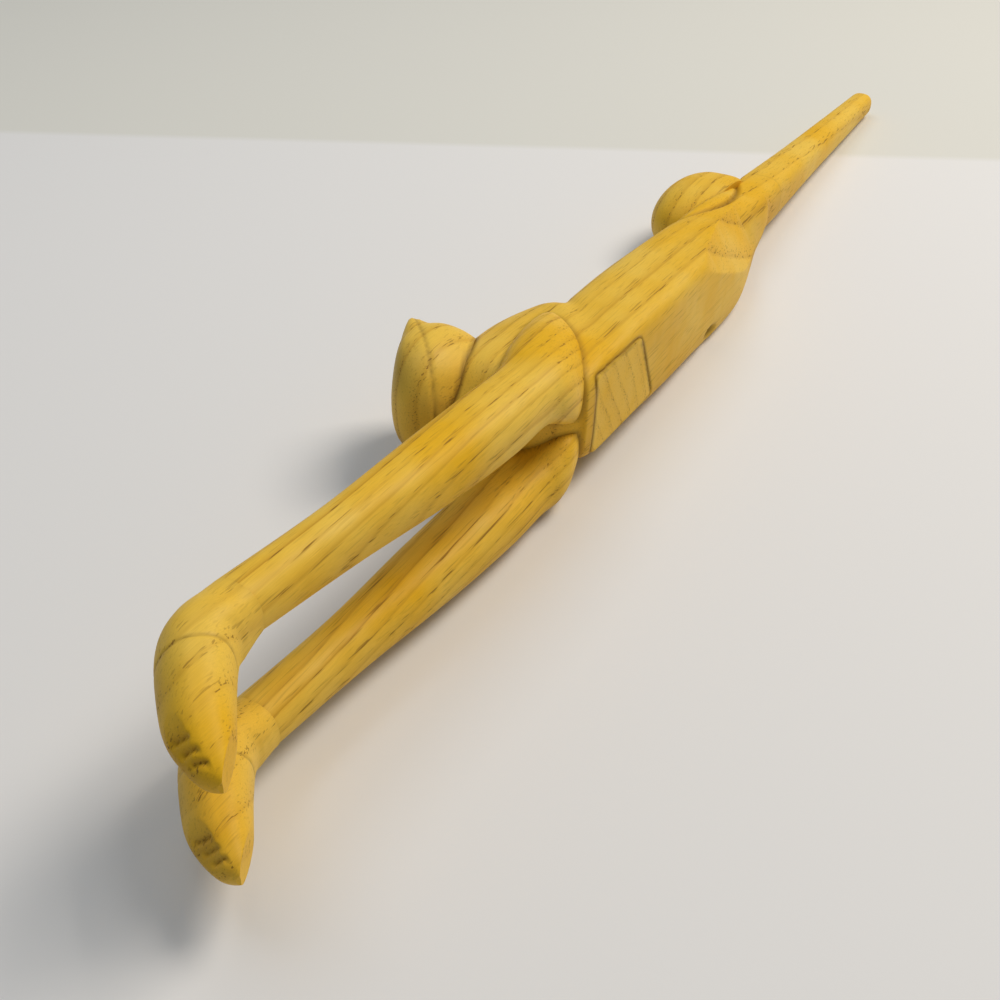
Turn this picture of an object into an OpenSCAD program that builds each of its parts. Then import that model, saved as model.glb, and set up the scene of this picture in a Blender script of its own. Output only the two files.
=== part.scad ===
// Carved wooden back scratcher in the form of a stretching cat, lying on its right side.
// Body frame: X runs along the back to the tail, Y to the back side, Z to the left side.

/* [Forelegs] */
// Length from the shoulder pin to the wrist seam
foreleg_len = 113; // [105:1:150]
// Diameter at the wrist
wrist_d = 12.5; // [11:0.5:17]
// Fullness of the forelegs half way, over the wrist
foreleg_full = 1.33; // [1:0.01:1.4]
// Depth of the round shoulder end, belly to back
shoulder_depth = 20.5; // [20:0.5:28]
// How far the shoulder end stands out from the middle plane
shoulder_reach = 22.5; // [18:0.5:24]
// Distance of each wrist's centre from the middle plane
wrist_spread = 16; // [14:0.5:21]
// Height of the wrist centre towards the back, from the shoulder pin
wrist_rise = 7; // [0:0.5:12]

/* [Paws] */
// Angle that the paw bends to the belly side
paw_bend = 47; // [35:1:65]
// Length of the paw beyond the wrist bend
paw_len = 26.5; // [14:0.5:30]
// Widest width of the paw across the toes
paw_w = 16; // [14:0.5:20]
// How far the knuckles stand out
knuckle = 6.5; // [0:0.5:8]
// Radius of the wrist bend
bend_r = 18; // [14:0.5:24]
// How far the toes turn outward from the wrist, across the body
paw_splay = -3.5; // [-4:0.5:4]
// Number of toes
toes = 4; // [3:1:5]
// Depth of the grooves between the toes at their tips
toe_groove = 1; // [0.5:0.1:3]

/* [Torso] */
// Length from the shoulder pin to the tail seam
torso_len = 187.5; // [140:0.5:190]
// Width of the trunk, side to side
torso_w = 34; // [27:0.5:36]
// Depth of the trunk behind the shoulders, belly to back
torso_depth = 28.5; // [26:0.5:35]
// Share of the depth that lies on the belly side of the shoulder pin
belly_share = 0.35; // [0.3:0.01:0.5]
// How far the belly still reaches at the haunch, as a share
haunch_in = 0.65; // [0.6:0.01:1.1]
// Height of the shoulder hump above the trunk's back
hump_h = 7.5; // [3:0.5:11]
// How far the rear edge of the shoulder blades leans towards the tail
blade_lean = 42; // [10:1:46]
// Length of the step behind the shoulder blades
blade_step = 4; // [3:0.5:7]
// How much the trunk's axis rises to the back along its length, below zero to the belly
back_rise = -3; // [-5:0.5:8]
// Thickness of the chest tongue between the forelegs
tongue_t = 4.5; // [3:0.5:12]
// Depth of the flats on the right shoulder and haunch that the carving rests on
rest_cut = 0.6; // [0.2:0.1:1]

/* [Belly panel] */
// Length along the body
panel_len = 28; // [20:0.5:36]
// Width across the body
panel_w = 25; // [16:0.5:26]
// How far its rear edge slants, from the left to the right
panel_slant = 12; // [0:0.5:16]
// Thickness
panel_t = 2; // [1.5:0.5:5]
// Wood left between the panel and the shoulder ends
panel_wall = 0.5; // [0.5:0.1:4]

/* [Head] */
// Height from chin to crown
head_h = 37; // [36:0.5:48]
// Width across the cheeks
head_w = 34.5; // [30:0.5:40]
// Depth from the neck seam to the face
head_deep = 21; // [14:0.5:24]
// Distance of the neck seam's middle ahead of the shoulder pin, below zero behind it
neck_ahead = -3.5; // [-6:0.5:14]
// Angle of the neck seam's axis above the forward direction
neck_angle = 66.5; // [60:0.5:85]
// Length of the ears
ear_len = 4; // [4:0.5:12]

/* [Rump] */
// Length along the body
rump_len = 52; // [40:1:60]
// Width side to side
rump_w = 26; // [22:0.5:30]
// Height above its seam
rump_h = 22.5; // [14:0.5:24]
// Wood left between it and the tail's seam
rump_wall = 1; // [0.5:0.5:12]
// Wood left between its seat and the tail's tenon
rump_floor = 1.2; // [1:0.1:4]

/* [Tail handle] */
// Length from the seam to the rounded tip
tail_len = 151; // [100:1:160]
// Depth at the root, belly to back
tail_root = 18; // [16:0.5:24]
// Diameter near the tip
tail_tip = 10.5; // [9:0.5:16]
// Height of the tail's axis towards the back, from the shoulder pin
tail_y = 7.5; // [2:0.5:12]
// Diameter of its round tenon
tenon_d = 10; // [8:0.5:12]
// Length of its round tenon
tenon_len = 18; // [16:1:36]

/* [Dowels] */
// Diameter of the shoulder, neck and rump dowels
dowel_d = 8; // [5:0.5:9]
// Diameter of the wrist dowels
wrist_dowel_d = 6; // [4:0.5:8]
// Room for glue between a dowel and its bore, on the diameter
glue_gap = 0.3; // [0.1:0.05:0.6]
// Room around the let-in shoulders and the belly panel
seam_gap = 0.3; // [0.1:0.05:0.6]

/* [Hidden] */

// Fineness: points around a carved section, and steps between two drawn sections
sides = 28;
steps = 3;
// Reach of a cutting block, past any piece that it cuts
reach = torso_len;

wood = [0.86, 0.68, 0.30];
dowel_wood = [0.78, 0.62, 0.40];

shoulder_r = shoulder_depth / 2;
wrist_r = wrist_d / 2;
tongue_face = tongue_t / 2;
belly_y = -torso_depth * belly_share;
back_y = torso_depth + belly_y;
torso_half = torso_w / 2;
hump_y = back_y + hump_h;
tail_half = tail_root / 2;
root_y = tail_y - back_rise;

// Neck: the head sits on a flat cut that faces forward and to the back side
neck_turn = 180 - neck_angle;
neck_axis = [cos(neck_turn), sin(neck_turn), 0];
neck_chin = [-sin(neck_turn), cos(neck_turn), 0];
neck_seat = [-neck_ahead, hump_y, 0];

// Rump: sits in a flat seat on the back, just ahead of the tail and above its tenon
rump_x = torso_len - rump_len / 2 - rump_wall;
rump_y = tail_y + tenon_d / 2 + rump_floor;

// Dowels: bores, and how far each dowel enters
bore_d = dowel_d + glue_gap;
wrist_bore_d = wrist_dowel_d + glue_gap;
end_gap = 1;
shoulder_pin = tongue_face + (shoulder_reach - tongue_face) * 0.55;
neck_pin = dowel_d * 1.5;
rump_pin = dowel_d * 1.4;
wrist_pin = wrist_d * 0.5;

// Point on the curve that passes through b and c, at the share t of the way
function curve(a, b, c, d, t) =
    b + 0.5 * t * (c - a + t * (2 * a - 5 * b + 4 * c - d + t * (3 * (b - c) + d - a)));

// Rows with n smooth rows for each two drawn ones
function refine(rows, n = steps) =
    let (last = len(rows) - 1)
    [for (i = [0:last - 1], s = [0:n - 1])
        curve(rows[max(i - 1, 0)], rows[i], rows[i + 1], rows[min(i + 2, last)], s / n),
     rows[last]];

function soft_power(c, e) = sign(c) * pow(abs(c), 2 / e);

// Section at one row [x, y, z, turn about Z, half depth, half width, squareness, squareness of the
// belly side where it differs]
function section(row) =
    [for (i = [0:sides - 1])
        let (a = 360 * i / sides,
             e = len(row) > 7 && cos(a) < 0 ? row[7] : row[6],
             u = row[4] * soft_power(cos(a), e),
             v = row[5] * soft_power(sin(a), e))
        [row[0] - u * sin(row[3]), row[1] + u * cos(row[3]), row[2] + v]];

function sections(rows) = [for (r = rows) section(r)];

// Rows that close a round end: depth and width shrink along a quarter circle of the given length
function round_end(row, length, n = 5) =
    [for (k = [1:n])
        let (a = 80 * k / n)
        [row[0] + length * sin(a), row[1], row[2], row[3], row[4] * cos(a), row[5] * cos(a), row[6]]];

// Solid between rings of equal length, the first ring at the low end of the path
module loft(rings) {
    n = len(rings[0]);
    last = len(rings) - 1;
    polyhedron(
        points = [for (ring = rings) each ring],
        faces = [
            [for (j = [0:n - 1]) j],
            for (i = [0:last - 1], j = [0:n - 1])
                each let (p = i * n + j, q = i * n + (j + 1) % n)
                    [[p, q + n, q], [p, p + n, q + n]],
            [for (j = [n - 1:-1:0]) last * n + j]]);
}

module both_sides() {
    children();
    mirror([0, 0, 1]) children();
}

// Torso: rows give the belly and back heights, and lean the section back along the shoulder blade

function trunk(x, belly, back, half, square, edge, lean = 0) =
    let (y = (belly + back) / 2, rise = back_rise * max(x, 0) / torso_len)
    [x + tan(lean) * y, y + rise, 0, -lean, (back - belly) / 2 / cos(lean), half, square, edge];

blade_end = shoulder_r * 1.95;
torso_rows = [
    trunk(-shoulder_r * 1.3, -belly_y * 0.5, hump_y, tongue_face * 1.4, 2.6, 2.6),
    trunk(-shoulder_r * 0.6, belly_y * 0.2, hump_y * 1.25, shoulder_reach * 0.58, 2.3, 2.8, 8),
    trunk(shoulder_r * 0.5, belly_y * 0.8, hump_y * 1.35, shoulder_reach * 0.66, 2.2, 3.6, 24),
    trunk(shoulder_r * 1.3, belly_y * 0.98, hump_y * 1.16, shoulder_reach * 0.68, 2.4, 5, blade_lean),
    trunk(blade_end, belly_y, hump_y, shoulder_reach * 0.7, 2.7, 6, blade_lean),
    trunk(blade_end + blade_step, belly_y, back_y * 1.12, torso_half * 0.9, 3, 6, blade_lean * 0.97),
    trunk(blade_end + shoulder_r, belly_y, back_y * 1.13, torso_half * 0.94, 3, 6, blade_lean * 0.8),
    trunk(torso_len * 0.41, belly_y, back_y * 1.11, torso_half * 0.99, 3, 6),
    trunk(torso_len * 0.55, belly_y, back_y * 1.03, torso_half, 3, 6),
    trunk(torso_len * 0.645, belly_y * 0.95, back_y * 0.98, torso_half * 0.94, 3, 5.5),
    trunk(torso_len * 0.73, belly_y * haunch_in, back_y * 0.96, torso_half * 0.8, 3, 5),
    trunk(torso_len * 0.81, belly_y * haunch_in * 0.5, back_y * 0.97, torso_half * 0.67, 3, 4),
    trunk(torso_len * 0.875, belly_y * 0.1, back_y * 0.99, torso_half * 0.6, 3, 3.5),
    trunk(torso_len * 0.93, root_y - tail_half * 1.05, root_y + tail_half, tail_half * 1.05, 3, 3),
    trunk(torso_len, root_y - tail_half, root_y + tail_half, tail_half, 3, 3)];

torso_rings = sections(refine(torso_rows));

module torso() {
    color(wood) difference() {
        lay() difference() {
            loft(torso_rings);
            both_sides() shoulder_rebate();
            neck_cut();
            rump_cut();
            panel_block(reach, seam_gap);
            shoulder_rod(reach, bore_d);
            neck_rod(-neck_pin - end_gap, end_gap, bore_d);
            rump_rod(-rump_pin - end_gap, end_gap, bore_d);
            tail_rod(tenon_len + end_gap, tenon_d + glue_gap);
        }
        floor_block();
    }
}

// Socket in the torso's side that takes the shoulder blade of a foreleg, with room all round
module shoulder_rebate() {
    loft(held_out(sections(refine([for (row = foreleg_rows) roomy(row)]))));
}

// Socket that the hump wraps around the head with
module neck_cut() {
    loft(head_rings(seam_gap));
}

module rump_cut() {
    translate([rump_x - rump_len / 2 - seam_gap, rump_y, -reach / 2])
        cube([rump_len + 2 * seam_gap, reach, reach]);
}

// Belly panel: a flat slab with a slanting rear edge, let into the belly behind the shoulder blades

panel_x = sqrt(max(0, pow(shoulder_r + seam_gap, 2) - pow(belly_y + panel_t, 2))) + panel_wall;
panel_y = belly_y + back_rise * panel_x / torso_len;

module panel_block(t, gap = 0) {
    translate([panel_x, panel_y + panel_t, 0]) rotate([90, 0, 0]) linear_extrude(t) offset(delta = gap)
        polygon([[0, panel_w / 2], [0, -panel_w / 2],
                 [panel_len + panel_slant, -panel_w / 2], [panel_len, panel_w / 2]]);
}

module belly_panel() {
    color(wood) lay() panel_block(panel_t);
}

// Forelegs: share 0 is the wrist seam and share 1 the shoulder pin

// Half widths of the shoulder blade, of the leg's root where it joins, and of the leg ahead of that
blade_half = (shoulder_reach - tongue_face) * 0.6;
root_half = blade_half * 0.8;
leg_half = blade_half * 0.66;

function foreleg_row(share, half_depth, square) =
    let (wrist_out = wrist_spread + wrist_r,
         out = wrist_out + (shoulder_reach - wrist_out) * share,
         half = wrist_r * (1 + (foreleg_full - 1) * min(1, share * 1.6)))
    [-foreleg_len * (1 - share), wrist_rise * pow(1 - share, 1.6), out - half, 0,
     half_depth, half, square];

// Section of the shoulder blade between two heights, leaning back like the trunk's sections
function blade_row(x, low, high, lean, out_share, half, square) =
    let (y = (low + high) / 2)
    [x + tan(lean) * y, y, shoulder_reach * out_share - half, -lean,
     (high - low) / 2 / cos(lean), half, square];

foreleg_rows = [
    foreleg_row(0, wrist_r, 2.2),
    foreleg_row(0.25, wrist_r * 1.01, 2.3),
    foreleg_row(0.5, wrist_r * foreleg_full, 2.4),
    foreleg_row(0.72, wrist_r * foreleg_full * 1.12, 2.4),
    blade_row(-shoulder_r * 1.4, -shoulder_r * 0.86, shoulder_r * 0.95, 8, 0.985, leg_half, 2.4),
    blade_row(-shoulder_r * 0.5, -shoulder_r, shoulder_r * 1.35, blade_lean * 0.5, 1, root_half, 2.4),
    blade_row(shoulder_r * 0.5, -shoulder_r * 0.96, shoulder_r * 1.75, blade_lean * 0.85, 0.96, blade_half, 2.4),
    blade_row(shoulder_r * 1.2, -shoulder_r * 0.75, shoulder_r * 1.85, blade_lean, 0.86, blade_half, 2.4),
    blade_row(shoulder_r * 1.6, -shoulder_r * 0.45, shoulder_r * 1.65, blade_lean, 0.74, blade_half, 2.3),
    blade_row(shoulder_r * 1.8, 0, shoulder_r * 1.2, blade_lean, 0.62, blade_half, 2.2)];

// Rings with every point kept outside the chest tongue, so that the glue face is flat
function held_out(rings) = [for (ring = rings) [for (p = ring) [p[0], p[1], max(p[2], tongue_face)]]];

// Row of the socket: the seam's room is added all round
function roomy(row) = row + [seam_gap * sign(row[0]), 0, 0, 0, seam_gap, seam_gap, 0];

foreleg_rings = held_out(sections(refine(foreleg_rows)));

module foreleg() {
    difference() {
        loft(foreleg_rings);
        shoulder_rod(2 * (shoulder_pin + end_gap), bore_d);
        wrist_rod(-wrist_pin - end_gap, end_gap, wrist_bore_d);
    }
}

module left_foreleg() {
    color(wood) lay() foreleg();
}

module right_foreleg() {
    color(wood) difference() {
        lay() mirror([0, 0, 1]) foreleg();
        floor_block();
    }
}

// Paws: an arc at the wrist, then a straight paw that ends in toes

function paw_point(bend, beyond) = [
    -foreleg_len - bend_r * sin(bend) - beyond * cos(bend),
    wrist_rise - bend_r * (1 - cos(bend)) - beyond * sin(bend),
    wrist_spread + paw_splay * (bend / paw_bend + beyond / paw_len) / 2];

// Sections of the paw: the palm side keeps to the path, the knuckle side stands out by the fullness
function paw_row(bend, beyond, half_depth, half_w, square, full = 0) =
    let (p = paw_point(bend, beyond), up = full / 2)
    [p[0] - up * sin(bend), p[1] + up * cos(bend), p[2], bend, half_depth + up, half_w, square];

paw_rows = [
    paw_row(paw_bend, paw_len, wrist_r * 0.12, paw_w * 0.09, 2.2, knuckle * 0.2),
    paw_row(paw_bend, paw_len * 0.9, wrist_r * 0.2, paw_w * 0.22, 2.3, knuckle * 0.7),
    paw_row(paw_bend, paw_len * 0.6, wrist_r * 0.34, paw_w * 0.4, 2.3, knuckle * 1.15),
    paw_row(paw_bend, paw_len * 0.2, wrist_r * 0.52, paw_w * 0.51, 2.2, knuckle * 1.15),
    paw_row(paw_bend * 0.8, 0, wrist_r * 0.72, paw_w * 0.52, 2.2, knuckle * 0.9),
    paw_row(paw_bend * 0.5, 0, wrist_r * 0.9, paw_w * 0.49, 2.2, knuckle * 0.5),
    paw_row(paw_bend * 0.2, 0, wrist_r, wrist_r * 1.06, 2.2, knuckle * 0.1),
    paw_row(0, 0, wrist_r, wrist_r, 2.2)];

paw_rings = sections(refine(paw_rows));

module paw() {
    difference() {
        loft(paw_rings);
        toe_grooves();
        wrist_rod(-end_gap, wrist_pin + end_gap, wrist_bore_d);
    }
}

// V grooves that part the toes: they follow the knuckle side up from the tip and run out there
groove_low = wrist_r * 0.2 + knuckle * 0.7 - toe_groove;
groove_high = wrist_r * 0.34 + knuckle * 1.15;
groove_slope = atan((groove_high - groove_low) / (paw_len * 0.3));
toe_pitch = paw_w * 0.7 / toes;

module toe_grooves() {
    translate(paw_point(paw_bend, paw_len * 0.9)) rotate([0, 0, paw_bend])
        for (i = [1:toes - 1])
            translate([0, groove_low, (i - toes / 2) * toe_pitch]) rotate([0, 0, groove_slope])
                rotate([-45, 0, 0]) translate([-paw_len / 2, 0, 0]) cube([paw_len + bend_r, paw_w, paw_w]);
}

module left_paw() {
    color(wood) lay() paw();
}

module right_paw() {
    color(wood) lay() mirror([0, 0, 1]) paw();
}

// Head: sections run from the neck seam to the face

function head_row(share, chin, crown, half_w, square) =
    let (c = neck_seat + neck_axis * head_deep * share + neck_chin * (chin - crown) / 2)
    [c[0], c[1], 0, neck_turn, (chin + crown) / 2, half_w, square];

head_rows = [
    head_row(0, head_h * 0.36, head_h * 0.4, head_w * 0.36, 2.2),
    head_row(0.2, head_h * 0.46, head_h * 0.44, head_w * 0.44, 2.2),
    head_row(0.45, head_h * 0.54, head_h * 0.45, head_w * 0.49, 2.3),
    head_row(0.7, head_h * 0.54, head_h * 0.43, head_w * 0.48, 2.3),
    head_row(0.88, head_h * 0.46, head_h * 0.39, head_w * 0.43, 2.3),
    head_row(0.97, head_h * 0.33, head_h * 0.3, head_w * 0.32, 2.2),
    head_row(1, head_h * 0.15, head_h * 0.14, head_w * 0.14, 2)];

// The ears rise from the crown edge: middle and half width around the head, and along its depth
ear_angle = 52;
ear_wide = 28;
ear_at = 0.93;
ear_deep = 0.3;

function point_bump(t) = abs(t) < 1 ? pow(1 - abs(t), 1.2) : 0;

// Head section with the two ears raised on it
function head_section(row, share) =
    let (ring = section(row), centre = [row[0], row[1], row[2]])
    [for (i = [0:sides - 1])
        let (a = 360 * i / sides,
             ear = point_bump((abs(a - 180) - ear_angle) / ear_wide)
                   * point_bump((share - ear_at) / ear_deep),
             out = (ring[i] - centre) / norm(ring[i] - centre))
        ring[i] + out * ear_len * ear];

// Rings of the head, with room all round for its socket
function head_rings(room = 0) =
    [for (r = refine(head_rows, 4))
        head_section(r + [0, 0, 0, 0, room, room, 0],
                     ([r[0], r[1], 0] - neck_seat) * neck_axis / head_deep)];

module head() {
    color(wood) lay() difference() {
        loft(head_rings());
        neck_rod(-end_gap, neck_pin + end_gap, bore_d);
    }
}

// Rump

function rump_row(share, len_share, w_share, square) =
    [rump_x, rump_y + rump_h * share, 0, 90, rump_len / 2 * len_share, rump_w / 2 * w_share, square];

rump_rows = [
    rump_row(0, 0.88, 0.88, 2.3),
    rump_row(0.25, 1, 0.98, 2.2),
    rump_row(0.5, 0.98, 0.97, 2.1),
    rump_row(0.75, 0.83, 0.8, 2.1),
    rump_row(0.92, 0.54, 0.52, 2),
    rump_row(1, 0.18, 0.18, 2)];

rump_rings = sections(refine(rump_rows));

module rump() {
    color(wood) lay() difference() {
        loft(rump_rings);
        rump_rod(-end_gap, rump_pin + end_gap, bore_d);
    }
}

// Tail handle: share 0 is the seam and share 1 the end of the straight taper

tip_round = tail_tip * 0.45;

function tail_row(share, half, square) =
    [torso_len + (tail_len - tip_round) * share, tail_y, 0, 0, half, half, square];

tail_step = tail_half - tail_tip / 2;
tail_end = tail_row(1, tail_tip / 2, 2.5);
tail_rows = [
    tail_row(0, tail_half, 3),
    tail_row(0.3, tail_half - tail_step * 0.42, 3),
    tail_row(0.65, tail_half - tail_step * 0.74, 2.8),
    tail_end];

tail_rings = sections(concat(refine(tail_rows), round_end(tail_end, tip_round)));

module tail_handle() {
    color(wood) lay() {
        loft(tail_rings);
        tail_rod(tenon_len, tenon_d);
    }
}

// Dowels and the rods that bore for them

module shoulder_rod(length, d) {
    cylinder(h = length, d = d, center = true);
}

// Rod along the neck's axis, lengths into the head positive
module neck_rod(from, to, d) {
    translate(neck_seat) rotate([0, 0, neck_turn]) rotate([0, 90, 0]) translate([0, 0, from])
        cylinder(h = to - from, d = d);
}

// Rod square to the rump's seat, lengths into the rump positive
module rump_rod(from, to, d) {
    translate([rump_x, rump_y, 0]) rotate([-90, 0, 0]) translate([0, 0, from])
        cylinder(h = to - from, d = d);
}

// Rod along the foreleg at the wrist, forward lengths positive
module wrist_rod(from, to, d) {
    translate([-foreleg_len, wrist_rise, wrist_spread]) rotate([0, -90, 0]) translate([0, 0, from])
        cylinder(h = to - from, d = d);
}

// Rod from the tail's seam forward into the torso
module tail_rod(length, d) {
    translate([torso_len, tail_y, 0]) rotate([0, 90, 0]) translate([0, 0, -length])
        cylinder(h = length + end_gap, d = d);
}

module shoulder_dowel() {
    color(dowel_wood) lay() shoulder_rod(2 * shoulder_pin, dowel_d);
}

module neck_dowel() {
    color(dowel_wood) lay() neck_rod(-neck_pin, neck_pin, dowel_d);
}

module left_wrist_dowel() {
    color(dowel_wood) lay() wrist_rod(-wrist_pin, wrist_pin, wrist_dowel_d);
}

module right_wrist_dowel() {
    color(dowel_wood) lay() mirror([0, 0, 1]) wrist_rod(-wrist_pin, wrist_pin, wrist_dowel_d);
}

module rump_dowel() {
    color(dowel_wood) lay() rump_rod(-rump_pin, rump_pin, dowel_d);
}

// Lying on its right side: it rests on small flats on the right shoulder and the right haunch
haunch_x = torso_len * 0.6;
rest_tilt = atan((shoulder_reach - torso_half) / haunch_x);

function laid(p) = [p[0] * cos(rest_tilt) + p[2] * sin(rest_tilt), p[1],
                    p[2] * cos(rest_tilt) - p[0] * sin(rest_tilt)];

function mirrored(rings) = [for (ring = rings) [for (p = ring) [p[0], p[1], -p[2]]]];

end_rings = concat(paw_rings, mirrored(paw_rings), head_rings(), tail_rings);
ends = [for (ring = end_rings) for (p = ring) laid(p)];
middle = [for (k = [0:1]) (min([for (p = ends) p[k]]) + max([for (p = ends) p[k]])) / 2];

module lay() {
    translate([-middle[0], -middle[1], shoulder_reach * cos(rest_tilt) - rest_cut])
        rotate([0, rest_tilt, 0]) children();
}

// Block below the floor that the flats are cut with
module floor_block() {
    translate([-reach, -reach, -reach]) cube([2 * reach, 2 * reach, reach]);
}

torso();
belly_panel();
head();
left_foreleg();
right_foreleg();
left_paw();
right_paw();
rump();
tail_handle();
shoulder_dowel();
neck_dowel();
left_wrist_dowel();
right_wrist_dowel();
rump_dowel();
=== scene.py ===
"""Looks of a carved wooden back scratcher in the form of a stretching cat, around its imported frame."""

import logging
import math
from dataclasses import dataclass, field
from enum import Enum

import bmesh
import bpy
import numpy as np
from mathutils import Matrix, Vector
from mathutils.bvhtree import BVHTree


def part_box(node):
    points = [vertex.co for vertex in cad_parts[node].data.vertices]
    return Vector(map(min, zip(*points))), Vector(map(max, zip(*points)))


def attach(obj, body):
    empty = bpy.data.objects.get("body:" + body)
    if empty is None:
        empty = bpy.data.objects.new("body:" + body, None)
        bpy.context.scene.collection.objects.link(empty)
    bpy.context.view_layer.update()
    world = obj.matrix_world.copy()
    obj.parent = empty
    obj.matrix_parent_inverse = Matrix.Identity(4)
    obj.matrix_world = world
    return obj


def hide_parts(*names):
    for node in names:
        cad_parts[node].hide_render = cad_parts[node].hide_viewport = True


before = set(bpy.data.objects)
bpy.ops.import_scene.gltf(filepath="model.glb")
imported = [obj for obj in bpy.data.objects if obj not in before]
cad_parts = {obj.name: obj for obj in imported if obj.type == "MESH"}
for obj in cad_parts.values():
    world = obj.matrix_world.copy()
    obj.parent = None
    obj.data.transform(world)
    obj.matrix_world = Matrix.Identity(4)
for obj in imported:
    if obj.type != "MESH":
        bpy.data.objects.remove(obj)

MM = 0.001
BODY = "root"
Triple = tuple[float, float, float]
log = logging.getLogger("back_scratcher")


class Side(Enum):
    """The animal's own sides; it lies on its right."""

    LEFT = 1
    RIGHT = -1


@dataclass(frozen=True)
class Sizes:
    """Sizes of the carving in mm, in its own frame: X to the tail, Y to the back, Z to the left."""

    foreleg_len: float = 113.0
    foreleg_full: float = 1.33
    wrist_r: float = 6.25
    wrist_spread: float = 16.0
    wrist_rise: float = 7.0
    shoulder_r: float = 10.25
    shoulder_reach: float = 22.5
    tongue_face: float = 2.25
    paw_bend: float = 47.0
    paw_len: float = 26.5
    paw_w: float = 16.0
    paw_splay: float = -3.5
    knuckle: float = 6.5
    bend_r: float = 18.0
    torso_len: float = 187.5
    torso_half: float = 17.0
    torso_depth: float = 28.5
    belly_share: float = 0.35
    hump_h: float = 7.5
    back_rise: float = -3.0
    blade_lean: float = 42.0
    blade_step: float = 4.0
    haunch_in: float = 0.65
    haunch_share: float = 0.6
    panel_x: float = 7.41
    panel_len: float = 28.0
    panel_w: float = 25.0
    panel_slant: float = 12.0
    panel_t: float = 2.0
    head_h: float = 37.0
    head_w: float = 34.5
    head_deep: float = 21.0
    neck_ahead: float = -3.5
    neck_angle: float = 66.5
    ear_len: float = 4.0
    rump_len: float = 52.0
    rump_w: float = 26.0
    rump_h: float = 22.5
    rump_wall: float = 1.0
    rump_y: float = 13.7
    tail_len: float = 151.0
    tail_half: float = 9.0
    tail_tip: float = 10.5
    tail_y: float = 7.5

    @property
    def belly_y(self) -> float:
        """Height of the belly line, towards the back."""
        return -self.torso_depth * self.belly_share

    @property
    def back_y(self) -> float:
        """Height of the back line."""
        return self.torso_depth + self.belly_y

    @property
    def hump_y(self) -> float:
        """Height of the shoulder hump."""
        return self.back_y + self.hump_h

    @property
    def root_y(self) -> float:
        """Height of the tail's root before the back's rise is added."""
        return self.tail_y - self.back_rise

    @property
    def rump_x(self) -> float:
        """Middle of the rump along the body."""
        return self.torso_len - self.rump_len / 2 - self.rump_wall

    @property
    def neck_axis(self) -> np.ndarray:
        """Direction from the neck seam to the face."""
        turn = math.radians(180 - self.neck_angle)
        return np.array([math.cos(turn), math.sin(turn), 0.0])

    @property
    def neck_chin(self) -> np.ndarray:
        """Direction from the crown to the chin."""
        turn = math.radians(180 - self.neck_angle)
        return np.array([-math.sin(turn), math.cos(turn), 0.0])

    @property
    def neck_seat(self) -> np.ndarray:
        """Middle of the neck seam."""
        return np.array([-self.neck_ahead, self.hump_y, 0.0])

    @property
    def tilt(self) -> float:
        """Angle of the body to the table, in radians."""
        drop = self.shoulder_reach - self.torso_half
        return math.atan(drop / (self.torso_len * self.haunch_share))


@dataclass(frozen=True)
class Lay:
    """How the carving lies in the shared frame."""

    origin: Vector
    tilt: float

    def place(self, points: np.ndarray) -> np.ndarray:
        """Moves points from the carving's frame in mm to the shared frame in metres.

        Args:
            points: Points in the carving's own frame, one per line.

        Returns:
            The same points in the shared frame.
        """
        c, s = math.cos(self.tilt), math.sin(self.tilt)
        x, y, z = points.T
        laid = np.stack([x * c + z * s, y, z * c - x * s], axis=1) * MM
        return laid + np.array(self.origin)


@dataclass(frozen=True)
class Zone:
    """A box in the carving's frame that a tool works in, fading out over its margin."""

    low: Triple
    high: Triple
    fade: float = 1.0

    def weight(self, points: np.ndarray) -> np.ndarray:
        """Share of the tool's work at each point.

        Args:
            points: Points in the carving's own frame.

        Returns:
            One value from 0 to 1 per point.
        """
        over = np.maximum(np.array(self.low) - points, points - np.array(self.high))
        return np.clip(1 - np.maximum(over, 0).max(axis=1) / self.fade, 0, 1)


EVERYWHERE = Zone((-1e3, -1e3, -1e3), (1e3, 1e3, 1e3))


@dataclass(frozen=True)
class SlantZone(Zone):
    """A zone whose rear edge slants as the belly panel's does."""

    slant: float = 0.0

    def weight(self, points: np.ndarray) -> np.ndarray:
        """Share of the tool's work at each point.

        Args:
            points: Points in the carving's own frame.

        Returns:
            One value from 0 to 1 per point.
        """
        front, long, wide = self.low[0], self.high[0] - self.low[0], self.high[2] - self.low[2]
        stretch = 1 + self.slant / long * (0.5 - points[:, 2] / wide)
        straight = points.copy()
        straight[:, 0] = front + (points[:, 0] - front) / stretch
        return super().weight(straight)


@dataclass(frozen=True, kw_only=True)
class Tool:
    """A knife's work on a surface, and the painted shade it leaves in the cut, with any darker wood there.
    """

    # Painted shade that darkens the cut; on the head's lower face it is partly darker wood.
    painted_shade_and_dark_wood: float = 0.0

    def cut(self, points: np.ndarray, normals: np.ndarray) -> tuple[np.ndarray, np.ndarray]:
        """Works the surface.

        Args:
            points: Surface points.
            normals: Outward directions there.

        Returns:
            The moved points and the painted shade, with any darker wood, at each of them.
        """
        raise NotImplementedError


@dataclass(frozen=True)
class Flat(Tool):
    """A flat knife facet: what stands past the plane is taken down to it."""

    point: Triple
    normal: Triple
    zone: Zone = EVERYWHERE

    def cut(self, points: np.ndarray, normals: np.ndarray) -> tuple[np.ndarray, np.ndarray]:
        """Takes the surface down to the plane.

        Args:
            points: Surface points.
            normals: Outward directions there.

        Returns:
            The moved points and the painted shade, with any darker wood, at each of them.
        """
        across = np.array(self.normal) / np.linalg.norm(self.normal)
        past = np.maximum((points - np.array(self.point)) @ across, 0) * self.zone.weight(points)
        return points - across * past[:, None], (past > 0) * self.painted_shade_and_dark_wood


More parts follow.
